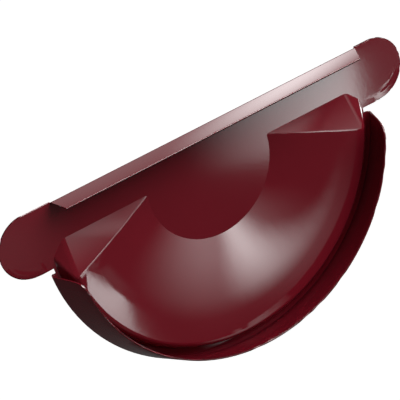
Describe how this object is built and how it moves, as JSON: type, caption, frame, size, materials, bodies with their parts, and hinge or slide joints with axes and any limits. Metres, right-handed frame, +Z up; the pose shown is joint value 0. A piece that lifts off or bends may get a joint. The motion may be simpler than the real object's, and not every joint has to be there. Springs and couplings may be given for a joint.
{
  "type": "gutter end cap",
  "caption": "Pressed painted steel end cap for a half-round rain gutter: flat plate with round ears, top flange, raised half ring and a half-round rim.",
  "frame": {"origin": "on the axis of the half-round gutter, in the face of the flat plate that looks towards the gutter", "axes": "+X across the gutter, -Y out of the cap along the gutter, +Z up"},
  "size_m": [0.1702, 0.0161, 0.0856],
  "materials": {
    "painted_steel": "gloss"
  },
  "bodies": {
    "root": {"end_cap": "painted_steel"}
  },
  "joints": []
}
